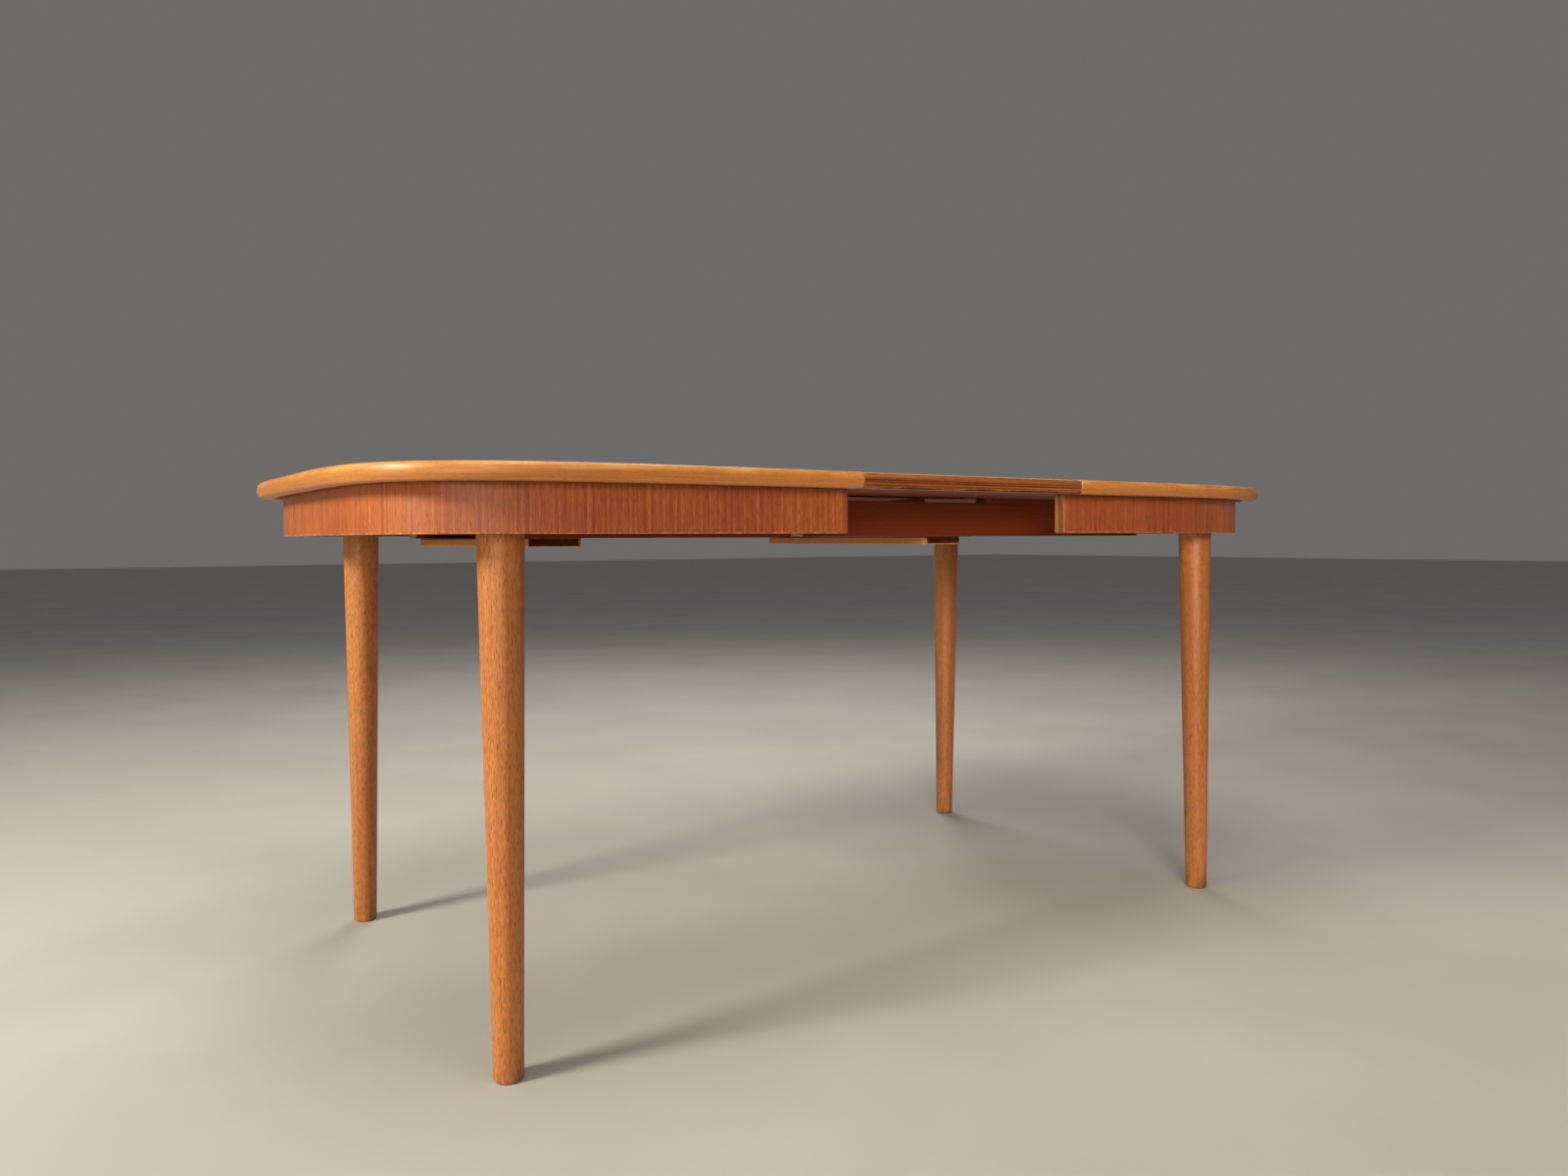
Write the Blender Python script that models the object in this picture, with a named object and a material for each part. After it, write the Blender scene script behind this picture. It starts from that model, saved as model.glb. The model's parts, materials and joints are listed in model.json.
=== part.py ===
"""Extending dining table: two half tops that slide apart on wooden rails, and a lift-in leaf.

Metres, +Z up. X runs along the table, -Y is the front. The origin is on the floor under the middle.
The left half stands still, the right half slides along X, and the leaf lies between them.
"""

import math

import bmesh
import bpy
from mathutils import Vector

# Driving dimensions of the top
HEIGHT = 0.720
TOP_THICK = 0.021
HALF_LENGTH = 0.6155
HALF_WIDTH = 0.456
LEAF_LENGTH = 0.410
LEAF_DROP = 0.0008
OUTLINE_POWER = 4.68
OUTLINE_STEPS = 44
BAND_WIDTH = 0.024
NOSE_Z = 0.0105
NOSE_TOP_ROUND = 0.005
NOSE_UNDERCUT = 0.006

# Gap left between pieces that touch, and between wooden parts that slide on each other
GAP = 0.0003
RUNNING_GAP = 0.0006

# Faces that meet at less than this many degrees are shaded as one round surface
SMOOTH_ANGLE = 40

# Apron
APRON_INSET = 0.036
APRON_THICK = 0.020
APRON_BOTTOM = 0.641

# Glue blocks, placed by polar angle round each half
GLUE_BLOCK_ANGLES = {"front": -74, "end": 0, "rear": 74}
GLUE_BLOCK_HALF_ANGLE = 6
GLUE_BLOCK_SIZE = 0.018

# Legs: round, tapered, leaning out a little
LEG_X = 0.4388
LEG_Y = 0.3300
LEG_TOP_RADIUS = 0.0280
LEG_FOOT_RADIUS = 0.0180
LEG_TOP = 0.667
LEG_LEAN_X = 0.0030
LEG_LEAN_Y = 0.0090
FOOT_ROUND = 0.003
LEG_SIDES = 32

# Corner blocks that carry the legs, and their steel
BLOCK_SEAM_END = 0.280
BLOCK_TIP_Y = 0.170
BOLT_RADIUS = 0.004
BOLT_DEPTH = 0.055
BOLT_ABOVE_LEG = 0.027
INSERT_RADIUS = 0.0065
INSERT_RECESS = 0.0013

# Sliding rails. Front and rear pairs stand the same distance apart, shifted by one rail between the halves
RAIL_THICK = 0.031
RAIL_PAIR_Y = 0.218
RAIL_BOTTOM = 0.637
RAIL_CLEARANCE = 0.0075
RAIL_STEP_START = 0.008
RAIL_STEP_END = 0.010
RAIL_LENGTH_UNDER_HALF = 0.381
RAIL_REACH = {"left": 0.408, "right": 0.364}
GROOVE_DEPTH = 0.007
GROOVE_MOUTH = 0.010
GROOVE_BACK = 0.016
GROOVE_Z = 0.666
KEY_LENGTH = 0.350
KEY_SETBACK = 0.002

# Cross-boards screwed under the left half's rails
BOARD_THICK = 0.0122
BOARD_WIDTH = 0.083
BOARD_CLIP = 0.008
BOARD_ROUND = 0.0015
BOARD_STARTS = {"outer": -0.5730, "inner": 0.1020}
BOARD_SCREW_SHARES = (0.28, 0.72)
BOARD_SCREW_SUNK = 0.0008

# Leaf bearers on the ends of the left half's rails
BEARER_START = 0.047
BEARER_LENGTH = 0.058
BEARER_LOW = 0.0030
BEARER_WIDTH = 0.026

# Bevels of the leaf's solid edges, inward and upward
LEAF_BEVEL_IN = 0.002
LEAF_BEVEL_UP = 0.003

# Screws
SCREW_RADIUS = 0.002
SCREW_HEAD_RADIUS = 0.0042
SCREW_HEAD_HEIGHT = 0.0030
SCREW_POINT = 0.004
SCREW_SIDES = 12
BOARD_SCREW_LENGTH = 0.032
RAIL_SCREW_LENGTH = 0.044
RAIL_SCREW_HEAD_Z = 0.668
RAIL_SCREW_PLACES = (0.060, 0.270)
COUNTERBORE_EXTRA = 0.005

SEAM = LEAF_LENGTH / 2
TOP_UNDER = HEIGHT - TOP_THICK
PANEL_INSET = BAND_WIDTH + GAP
APRON_INNER = APRON_INSET + APRON_THICK
QUARTER = math.pi / 2
SIDES = {"left": -1, "right": 1}


def clear_scene():
    for obj in list(bpy.data.objects):
        bpy.data.objects.remove(obj)


def wood(name, colour, roughness):
    return material(name, colour, roughness, 0.0)


def material(name, colour, roughness, metallic):
    mat = bpy.data.materials.new(name)
    mat.use_nodes = True
    shader = mat.node_tree.nodes["Principled BSDF"]
    shader.inputs["Base Color"].default_value = (*colour, 1)
    shader.inputs["Roughness"].default_value = roughness
    shader.inputs["Metallic"].default_value = metallic
    return mat


def outline_point(angle, inset):
    """A point of a half's outline, by polar angle from the middle of its seam, moved in by inset."""
    c = max(math.cos(angle), 0.0)
    s = math.sin(angle)
    n = OUTLINE_POWER
    reach = ((c / HALF_LENGTH) ** n + (abs(s) / HALF_WIDTH) ** n) ** (-1 / n)
    point = Vector((reach * c, reach * s))
    slope_x = point.x ** (n - 1) / HALF_LENGTH**n
    slope_y = math.copysign(abs(point.y) ** (n - 1) / HALF_WIDTH**n, point.y)
    return point - inset * Vector((slope_x, slope_y)).normalized()


def spread(start, end, steps):
    return [start + (end - start) * i / steps for i in range(steps + 1)]


def outline_angles(start=-QUARTER, end=QUARTER):
    """The outline's own steps between two polar angles, so that neighbours keep the same facets."""
    return [a for a in spread(-QUARTER, QUARTER, OUTLINE_STEPS) if start <= a <= end]


def at_side(side, point, z):
    """A point measured from a half's seam, in the table's own frame."""
    return Vector((SIDES[side] * (SEAM + point.x), point.y, z))


def add_loft(bm, loops):
    """A closed solid through loops of equal length, each given in order, with flat ends."""
    rings = [[bm.verts.new(p) for p in loop] for loop in loops]
    for near, far in zip(rings, rings[1:]):
        for i in range(len(near)):
            j = (i + 1) % len(near)
            bm.faces.new((near[i], near[j], far[j], far[i]))
    bm.faces.new(rings[0])
    bm.faces.new(rings[-1])


def add_sweep(bm, side, section, angles):
    """A section of (inset, height) points, carried round a half's outline."""
    add_loft(bm, [[at_side(side, outline_point(a, inset), z) for inset, z in section] for a in angles])


def add_prism(bm, outline, low, high):
    add_loft(bm, [[Vector((x, y, z)) for x, y in outline] for z in (low, high)])


def add_bar(bm, section, start, end):
    """A bar along X with a section of (y, z) points."""
    add_loft(bm, [[Vector((x, y, z)) for y, z in section] for x in (start, end)])


def add_turned(bm, profile, centre, sides, shift=lambda radius, z: (0, 0)):
    """A solid turned round an upright axis. profile is (radius, z), and starts and ends on the axis.

    shift moves each of its rings sideways.
    """
    rings = []
    for radius, z in profile:
        dx, dy = shift(radius, z)
        x, y = centre[0] + dx, centre[1] + dy
        turns = [math.tau * i / sides for i in range(sides if radius else 1)]
        rings.append([bm.verts.new((x + radius * math.cos(t), y + radius * math.sin(t), z)) for t in turns])
    for low, high in zip(rings, rings[1:]):
        for i in range(sides):
            j = (i + 1) % sides
            corners = [low[i % len(low)], low[j % len(low)], high[j % len(high)], high[i % len(high)]]
            bm.faces.new(list(dict.fromkeys(corners)))


def make(name, bm, mat, parent=None, origin=(0, 0, 0), smooth=None):
    """Turns a bmesh in the table's frame into an object whose origin is at origin."""
    bmesh.ops.recalc_face_normals(bm, faces=bm.faces)
    mesh = bpy.data.meshes.new(name)
    bmesh.ops.translate(bm, verts=bm.verts, vec=-Vector(origin))
    bm.to_mesh(mesh)
    bm.free()
    mesh.materials.append(mat)
    if smooth:
        mesh.shade_smooth()
        mesh.set_sharp_from_angle(angle=math.radians(smooth))
    obj = bpy.data.objects.new(name, mesh)
    obj.location = Vector(origin)
    if parent:
        obj.parent = parent
        obj.location = Vector(origin) - parent.location
    bpy.context.scene.collection.objects.link(obj)
    return obj


def cutter(name, bm, parent):
    obj = make(name, bm, None, parent)
    obj.hide_render = True
    obj.display_type = "WIRE"
    return obj


def cut(obj, tool):
    boolean = obj.modifiers.new("cut", "BOOLEAN")
    boolean.object = tool
    boolean.operation = "DIFFERENCE"
    boolean.solver = "EXACT"


def soften(obj, width):
    bevel = obj.modifiers.new("soften", "BEVEL")
    bevel.width = width
    bevel.segments = 1
    bevel.limit_method = "ANGLE"


def empty(name, location):
    obj = bpy.data.objects.new(name, None)
    obj.location = location
    bpy.context.scene.collection.objects.link(obj)
    return obj


def whole_outline(inset):
    return [outline_point(a, inset) for a in outline_angles()]


def edge_section():
    """Solid edge band: a small round above the nose, and a deeper undercut below it."""
    nose = HEIGHT - NOSE_Z
    above = [
        (NOSE_TOP_ROUND * (1 - math.sin(a)), nose + NOSE_Z * math.cos(a)) for a in spread(0, QUARTER, 4)
    ]
    drop = nose - TOP_UNDER
    below = [
        (NOSE_UNDERCUT * (1 - math.cos(a)), nose - drop * math.sin(a)) for a in spread(0, QUARTER, 4)
    ]
    return [(BAND_WIDTH, HEIGHT), *above, *below[1:], (BAND_WIDTH, TOP_UNDER)]


def make_top(side, mats, parent):
    bm = bmesh.new()
    outline = [at_side(side, p, 0).xy for p in whole_outline(PANEL_INSET)]
    add_prism(bm, outline, TOP_UNDER, HEIGHT)
    panel = make(f"{side}_top_panel", bm, mats["top"], parent)
    bm = bmesh.new()
    add_sweep(bm, side, edge_section(), outline_angles())
    make(f"{side}_edge_band", bm, mats["edge"], parent, smooth=SMOOTH_ANGLE)
    return panel


def make_apron(side, mats, parent):
    top = TOP_UNDER - GAP
    section = [
        (APRON_INSET, top),
        (APRON_INSET, APRON_BOTTOM),
        (APRON_INNER, APRON_BOTTOM),
        (APRON_INNER, top),
    ]
    bm = bmesh.new()
    add_sweep(bm, side, section, outline_angles())
    make(f"{side}_apron", bm, mats["apron"], parent, smooth=SMOOTH_ANGLE)


def make_glue_blocks(side, mats, parent):
    """Hardwood strips glued in the corner between the apron and the top."""
    top = TOP_UNDER - GAP
    near = APRON_INNER + GAP
    low = top - GLUE_BLOCK_SIZE
    toe = near + GLUE_BLOCK_SIZE / 3
    section = [(near, top), (near, low), (toe, low), (near + GLUE_BLOCK_SIZE, top)]
    for place, middle in GLUE_BLOCK_ANGLES.items():
        start = math.radians(middle - GLUE_BLOCK_HALF_ANGLE)
        end = math.radians(middle + GLUE_BLOCK_HALF_ANGLE)
        bm = bmesh.new()
        add_sweep(bm, side, section, outline_angles(start, end))
        make(f"{side}_{place}_glue_block", bm, mats["block"], parent)


def leg_profile():
    """Foot to top, with a bore down from the top for the hanger bolt."""
    bore = BOLT_RADIUS + GAP
    foot = [
        (LEG_FOOT_RADIUS - FOOT_ROUND * (1 - math.sin(a)), FOOT_ROUND * (1 - math.cos(a)))
        for a in spread(0, QUARTER, 3)
    ]
    rise = spread(FOOT_ROUND, LEG_TOP, 6)[1:]
    taper = [
        (LEG_FOOT_RADIUS + (LEG_TOP_RADIUS - LEG_FOOT_RADIUS) * (z - FOOT_ROUND) / (LEG_TOP - FOOT_ROUND), z)
        for z in rise
    ]
    return [(0, 0), *foot, *taper, (bore, LEG_TOP), (bore, LEG_TOP - BOLT_DEPTH), (0, LEG_TOP - BOLT_DEPTH)]


def add_leg(bm, centre, lean):
    """A leg whose outside leans more the lower it is, and whose bore stays upright."""

    def shift(radius, z):
        if radius == BOLT_RADIUS + GAP or z == LEG_TOP - BOLT_DEPTH:
            return 0, 0
        share = 1 - z / LEG_TOP
        return lean[0] * share, lean[1] * share

    add_turned(bm, leg_profile(), centre, LEG_SIDES, shift)


def make_leg_hardware(name, centre, mats, parent):
    """The hanger bolt in a leg, and the threaded insert over it. Gives back the insert's hole."""
    bolt_start = LEG_TOP - BOLT_DEPTH + 2 * GAP
    bolt_end = LEG_TOP + BOLT_ABOVE_LEG
    bolt = [(0, bolt_start), (BOLT_RADIUS, bolt_start), (BOLT_RADIUS, bolt_end), (0, bolt_end)]
    bm = bmesh.new()
    add_turned(bm, bolt, centre, LEG_SIDES)
    make(f"{name}_hanger_bolt", bm, mats["steel"], parent, (*centre, LEG_TOP), smooth=SMOOTH_ANGLE)
    low = LEG_TOP + INSERT_RECESS
    bm = bmesh.new()
    add_ring(bm, centre, BOLT_RADIUS + GAP, INSERT_RADIUS, low, bolt_end)
    make(f"{name}_leg_insert", bm, mats["brass"], parent, (*centre, low), smooth=SMOOTH_ANGLE)
    wide = INSERT_RADIUS + GAP
    high = bolt_end + GAP
    hole = [(0, LEG_TOP), (wide, LEG_TOP), (wide, high), (0, high)]
    bm = bmesh.new()
    add_turned(bm, hole, centre, LEG_SIDES)
    return cutter(f"{name}_insert_hole", bm, parent)


def make_legs(side, mats, parent):
    """Legs, and the corner blocks over them that their hanger bolts screw into."""
    inner = APRON_INNER + GAP
    seam_angle = math.atan2(HALF_WIDTH - inner, BLOCK_SEAM_END)
    tip_angle = math.atan2(BLOCK_TIP_Y, HALF_LENGTH - inner)
    for place, sign in (("front", -1), ("rear", 1)):
        name = f"{side}_{place}"
        centre = at_side(side, Vector((LEG_X, sign * LEG_Y)), 0).xy
        bm = bmesh.new()
        add_leg(bm, centre, (SIDES[side] * LEG_LEAN_X, sign * LEG_LEAN_Y))
        make(f"{name}_leg", bm, mats["leg"], parent, (*centre, LEG_TOP), smooth=SMOOTH_ANGLE)
        arc = [outline_point(sign * a, inner) for a in outline_angles(tip_angle, seam_angle)]
        bm = bmesh.new()
        add_prism(bm, [at_side(side, p, 0).xy for p in arc], LEG_TOP + GAP, TOP_UNDER - GAP)
        block = make(f"{name}_leg_block", bm, mats["block"], parent)
        cut(block, make_leg_hardware(name, centre, mats, parent))


def add_ring(bm, centre, inner, outer, low, high):
    """A plain bush round a vertical axis."""
    section = [(inner, low), (outer, low), (outer, high), (inner, high)]
    rings = []
    for i in range(LEG_SIDES):
        turn = math.tau * i / LEG_SIDES
        c, s = math.cos(turn), math.sin(turn)
        rings.append([bm.verts.new((centre[0] + r * c, centre[1] + r * s, z)) for r, z in section])
    for near, far in zip(rings, rings[1:] + rings[:1]):
        for i in range(4):
            j = (i + 1) % 4
            bm.faces.new((near[i], near[j], far[j], far[i]))


def rail_places(side):
    """For each of a half's two rails: its name, the y of its grooved face, and where its body lies."""
    shift = SIDES[side]
    return {
        "front": (-RAIL_PAIR_Y, -shift),
        "rear": (RAIL_PAIR_Y, -shift),
    }


def rail_section(face_y, away, bottom, top):
    """A rail's (y, z) section. The grooved face is at face_y, and the wood lies on the away side of it."""
    face = face_y + away * RUNNING_GAP / 2
    back = face + away * (RAIL_THICK - RUNNING_GAP / 2)
    deep = face + away * GROOVE_DEPTH
    return [
        (face, bottom),
        (face, GROOVE_Z - GROOVE_MOUTH / 2),
        (deep, GROOVE_Z - GROOVE_BACK / 2),
        (deep, GROOVE_Z + GROOVE_BACK / 2),
        (face, GROOVE_Z + GROOVE_MOUTH / 2),
        (face, top),
        (back, top),
        (back, bottom),
    ]


def make_rails(side, mats, parent):
    """Two rails, thinner where they reach out under the leaf and the other half."""
    bottom = RAIL_BOTTOM + (GAP if side == "right" else 0)
    rails = {}
    for place, (face_y, away) in rail_places(side).items():
        full = rail_section(face_y, away, bottom, TOP_UNDER - GAP)
        slim = rail_section(face_y, away, bottom, TOP_UNDER - RAIL_CLEARANCE)
        ends = [RAIL_LENGTH_UNDER_HALF, RAIL_STEP_END, RAIL_STEP_START, -RAIL_REACH[side]]
        loops = []
        for x, section in zip(ends, (full, full, slim, slim)):
            loops.append([Vector((SIDES[side] * (SEAM + x), y, z)) for y, z in section])
        bm = bmesh.new()
        add_loft(bm, loops)
        rails[place] = make(f"{side}_{place}_rail", bm, mats["rail"], parent)
    return rails


def make_keys(mats, parent):
    """Dovetail keys glued in the right half's rails, running in the grooves of the left half's."""
    for place, face_y in (("front", -RAIL_PAIR_Y), ("rear", RAIL_PAIR_Y)):
        start = SEAM - RAIL_REACH["right"] + KEY_SETBACK
        mouth = GROOVE_MOUTH / 2 - RUNNING_GAP
        back = GROOVE_BACK / 2 - RUNNING_GAP
        reach = GROOVE_DEPTH - RUNNING_GAP / 2
        section = [
            (face_y - reach, GROOVE_Z - back),
            (face_y, GROOVE_Z - mouth),
            (face_y + reach, GROOVE_Z - back),
            (face_y + reach, GROOVE_Z + back),
            (face_y, GROOVE_Z + mouth),
            (face_y - reach, GROOVE_Z + back),
        ]
        bm = bmesh.new()
        add_bar(bm, section, start, start + KEY_LENGTH)
        make(f"{place}_slide_key", bm, mats["rail"], parent)


def rail_middle(side, place):
    face_y, away = rail_places(side)[place]
    return face_y + away * RAIL_THICK / 2


def screw_profile(length, extra=0.0, counterbore=0.0):
    """A countersunk screw that points up, with its head's face at z 0. extra widens it into its hole.

    counterbore carries the hole's wide end down past the head.
    """
    shank = SCREW_RADIUS + extra
    head = SCREW_HEAD_RADIUS + extra
    start = [(0, -counterbore), (head, -counterbore)] + ([(head, 0)] if counterbore else [])
    taper = length - SCREW_POINT
    return [*start, (shank, SCREW_HEAD_HEIGHT), (shank, taper + extra), (0, length + extra)]


def make_screws(names, places, length, counterbore, mats, parent):
    """Equal screws that share one mesh, each with its head at a place. Gives back all their holes."""
    bm = bmesh.new()
    add_turned(bm, screw_profile(length), (0, 0), SCREW_SIDES)
    first = make(names[0], bm, mats["steel"], parent, smooth=SMOOTH_ANGLE)
    base = parent.location if parent else Vector()
    for name, place in zip(names, places):
        obj = first
        if name != names[0]:
            obj = bpy.data.objects.new(name, first.data)
            obj.parent = parent
            bpy.context.scene.collection.objects.link(obj)
        obj.location = Vector(place) - base
    holes = bmesh.new()
    for place in places:
        profile = [(r, z + place[2]) for r, z in screw_profile(length, GAP, counterbore)]
        add_turned(holes, profile, place, SCREW_SIDES)
    return cutter(f"{names[0]}_holes", holes, parent)


def make_rail_screws(side, rails, panel, mats, parent):
    names = []
    places = []
    for place in rails:
        for number, x in enumerate(RAIL_SCREW_PLACES, 1):
            names.append(f"{side}_{place}_rail_screw_{number}")
            places.append((SIDES[side] * (SEAM + x), rail_middle(side, place), RAIL_SCREW_HEAD_Z))
    depth = RAIL_SCREW_HEAD_Z - RAIL_BOTTOM + COUNTERBORE_EXTRA
    holes = make_screws(names, places, RAIL_SCREW_LENGTH, depth, mats, parent)
    for obj in [*rails.values(), panel]:
        cut(obj, holes)


def board_outline(start, front, rear):
    """A board across the rails, with its four upright corners clipped."""
    end = start + BOARD_WIDTH
    c = BOARD_CLIP
    return [
        (start, front + c),
        (start + c, front),
        (end - c, front),
        (end, front + c),
        (end, rear - c),
        (end - c, rear),
        (start + c, rear),
        (start, rear - c),
    ]


def make_cross_boards(rails, mats):
    """Two boards under the left half's rails. They tie these together and carry the right half's."""
    top = RAIL_BOTTOM - GAP
    bottom = top - BOARD_THICK
    front = rail_middle("left", "front") - RAIL_THICK / 2
    rear = rail_middle("left", "rear") + RAIL_THICK / 2
    names = []
    places = []
    boards = []
    for place, start in BOARD_STARTS.items():
        bm = bmesh.new()
        add_prism(bm, board_outline(start, front, rear), bottom, top)
        board = make(f"{place}_cross_board", bm, mats["board"])
        soften(board, BOARD_ROUND)
        boards.append(board)
        for rail in rails:
            for number, share in enumerate(BOARD_SCREW_SHARES, 1):
                names.append(f"{place}_board_{rail}_screw_{number}")
                x = start + share * BOARD_WIDTH
                places.append((x, rail_middle("left", rail), bottom + BOARD_SCREW_SUNK))
    holes = make_screws(names, places, BOARD_SCREW_LENGTH, 2 * BOARD_SCREW_SUNK, mats, None)
    for obj in [*boards, *rails.values()]:
        cut(obj, holes)


def make_leaf_bearers(mats):
    """Thin wedges on the ends of the left half's rails, which carry the leaf."""
    low = TOP_UNDER - RAIL_CLEARANCE + GAP
    high = TOP_UNDER - GAP
    for place in ("front", "rear"):
        middle = rail_middle("left", place)
        loops = []
        for x, top in ((BEARER_START, low + BEARER_LOW), (BEARER_START + BEARER_LENGTH, high)):
            half = BEARER_WIDTH / 2
            section = [(middle - half, low), (middle + half, low), (middle + half, top), (middle - half, top)]
            loops.append([Vector((x, y, z)) for y, z in section])
        bm = bmesh.new()
        add_loft(bm, loops)
        make(f"{place}_leaf_bearer", bm, mats["board"])


def make_leaf(mats, parent):
    """A panel between two solid edges, a hair lower than the halves."""
    top = HEIGHT - LEAF_DROP
    reach = SEAM - GAP
    inner = HALF_WIDTH - BAND_WIDTH
    bm = bmesh.new()
    add_prism(bm, [(-reach, -inner), (reach, -inner), (reach, inner), (-reach, inner)], TOP_UNDER, top)
    make("leaf_panel", bm, mats["top"], parent)
    for place, sign in (("front", -1), ("rear", 1)):
        outer = sign * HALF_WIDTH
        back = sign * (inner + GAP)
        section = [
            (back, top),
            (outer - sign * LEAF_BEVEL_IN, top),
            (outer, top - LEAF_BEVEL_UP),
            (outer, TOP_UNDER + LEAF_BEVEL_UP),
            (outer - sign * LEAF_BEVEL_IN, TOP_UNDER),
            (back, TOP_UNDER),
        ]
        bm = bmesh.new()
        add_bar(bm, section, -reach, reach)
        make(f"leaf_{place}_edge", bm, mats["leaf_edge"], parent)


def make_half(side, mats, parent):
    panel = make_top(side, mats, parent)
    make_apron(side, mats, parent)
    make_glue_blocks(side, mats, parent)
    make_legs(side, mats, parent)
    rails = make_rails(side, mats, parent)
    make_rail_screws(side, rails, panel, mats, parent)
    return rails


def main():
    clear_scene()
    mats = {
        "top": wood("teak_veneer", (0.42, 0.17, 0.055), 0.40),
        "edge": wood("teak_edge", (0.50, 0.22, 0.07), 0.40),
        "leaf_edge": wood("leaf_edge_wood", (0.22, 0.085, 0.03), 0.45),
        "apron": wood("apron_veneer", (0.38, 0.12, 0.04), 0.45),
        "leg": wood("leg_wood", (0.45, 0.18, 0.055), 0.42),
        "rail": wood("rail_wood", (0.22, 0.065, 0.025), 0.50),
        "board": wood("board_wood", (0.48, 0.25, 0.12), 0.60),
        "block": wood("block_wood", (0.50, 0.32, 0.17), 0.65),
        "steel": material("steel", (0.50, 0.50, 0.50), 0.35, 1.0),
        "brass": material("brass", (0.70, 0.50, 0.20), 0.35, 1.0),
    }
    slide = empty("right_half_slide", (0, 0, GROOVE_Z))
    lift = empty("leaf_lift", (0, 0, TOP_UNDER))
    left_rails = make_half("left", mats, None)
    make_cross_boards(left_rails, mats)
    make_leaf_bearers(mats)
    make_half("right", mats, slide)
    make_keys(mats, slide)
    make_leaf(mats, lift)


main()
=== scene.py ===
"""Looks of the extending dining table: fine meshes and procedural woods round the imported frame.

Metres, in the frame's own axes: X along the table, -Y the front, Z up.
Every wooden piece carries a "grain" attribute: its surface laid out in straightened wood,
with x along the fibres, in metres. The wood materials read only that, and a "wear" attribute.
"""

import math
import random

import bmesh
import bpy
from mathutils import Matrix, Vector
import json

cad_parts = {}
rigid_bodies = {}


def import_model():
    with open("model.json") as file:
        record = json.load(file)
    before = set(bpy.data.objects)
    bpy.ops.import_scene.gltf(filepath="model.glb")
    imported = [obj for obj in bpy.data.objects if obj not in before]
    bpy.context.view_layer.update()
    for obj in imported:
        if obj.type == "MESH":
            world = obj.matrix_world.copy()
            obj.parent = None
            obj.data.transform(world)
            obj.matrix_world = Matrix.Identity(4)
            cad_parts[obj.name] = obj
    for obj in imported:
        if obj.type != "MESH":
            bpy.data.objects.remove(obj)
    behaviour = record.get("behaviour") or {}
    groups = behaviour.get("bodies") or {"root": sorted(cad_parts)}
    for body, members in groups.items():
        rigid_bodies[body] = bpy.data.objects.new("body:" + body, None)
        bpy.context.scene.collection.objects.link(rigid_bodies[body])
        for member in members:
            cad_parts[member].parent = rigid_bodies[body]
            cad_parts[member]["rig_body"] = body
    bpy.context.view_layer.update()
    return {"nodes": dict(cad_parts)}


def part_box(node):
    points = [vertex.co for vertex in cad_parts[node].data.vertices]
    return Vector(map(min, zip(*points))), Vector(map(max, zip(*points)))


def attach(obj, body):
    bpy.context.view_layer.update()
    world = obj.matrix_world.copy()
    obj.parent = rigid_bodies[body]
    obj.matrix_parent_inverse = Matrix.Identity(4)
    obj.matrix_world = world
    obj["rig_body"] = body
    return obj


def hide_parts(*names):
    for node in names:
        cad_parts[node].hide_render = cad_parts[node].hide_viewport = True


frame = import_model()

# The top's outline and sections, as the frame has them
OUTLINE_POWER = 4.68
OUTLINE_STEPS = 176
BAND_WIDTH = 0.024
NOSE_Z = 0.0105
NOSE_TOP_ROUND = 0.005
NOSE_UNDERCUT = 0.006
SEAM_ROUND = 0.0020
JOINT = 0.00015
VENEER = 0.0012
PANEL_EASE = 0.0003
LEAF_EASE = 0.0004

# The leaf's lippings: set back from the halves' outline, with small rounds
LIPPING_SETBACK = 0.0008
LIPPING_TOP_ROUND = 0.0008
LIPPING_LOW_ROUND = 0.0032
LIPPING_END_EASE = 0.0010

APRON_THICK = 0.020
APRON_ROUND = 0.0012
APRON_END_STRIP = 0.010

# The legs. The CAD foot's rounding ends at FOOT_EDGE_Z, and points within RING_NEAR share a height
LEG_SIDES = 96
LEG_RINGS = 48
FOOT_ROUND = 0.0035
FOOT_EDGE_Z = 0.003
RING_NEAR = 0.0005
SCUFF_HEIGHT = 0.05
LEG_TURN = 1.3

# Edges sharper than these angles, in degrees, are shaded sharp or eased, and flatter ones dissolved
SHARP_ANGLE = 35
SCREW_SHARP_ANGLE = 30
EASED_ANGLE = 40
FLAT_ANGLE = 1
MERGE_DISTANCE = 0.00001

# A face looks along an axis if its normal's part on it is above this
LOOKS_ALONG = 0.9

# A face this near the seam's plane is the seam's
SEAM_NEAR = 0.001

# A sweep's rings keep this far from its end rings
RING_GAP = 0.002

# The eased edges of the refined CAD pieces
RAIL_EASE = 0.0008
KEY_EASE = 0.0003
BEARER_EASE = 0.0004
BLOCK_EASE = 0.0010
GLUE_BLOCK_EASE = 0.0008

# The screws. The shank is a share of the head's radius, and the thread's start and reach of the length
SCREW_SEED = 7
SCREW_SIDES = 24
SCREW_HEAD = 0.0030
SCREW_RIM = 0.0003
SCREW_SHANK = 0.48
SCREW_TIP = 0.0005
SLOT_WIDTH = 0.0011
SLOT_DEPTH = 0.0012
THREAD_START = 0.35
THREAD_REACH = 0.62
THREAD_PITCH = 0.0018
THREAD_ROOT = 0.72
THREAD_TAPER = 0.006

CAMERA_PLACE = (-1.1002, -1.6013, 0.6342)
CAMERA_YAW = -0.5912
CAMERA_PITCH = -0.0406
CAMERA_ROLL = -0.0045
CAMERA_LENS = 25.82
CAMERA_SENSOR = 36
CAMERA_SHIFT_Y = -0.0022

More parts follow.
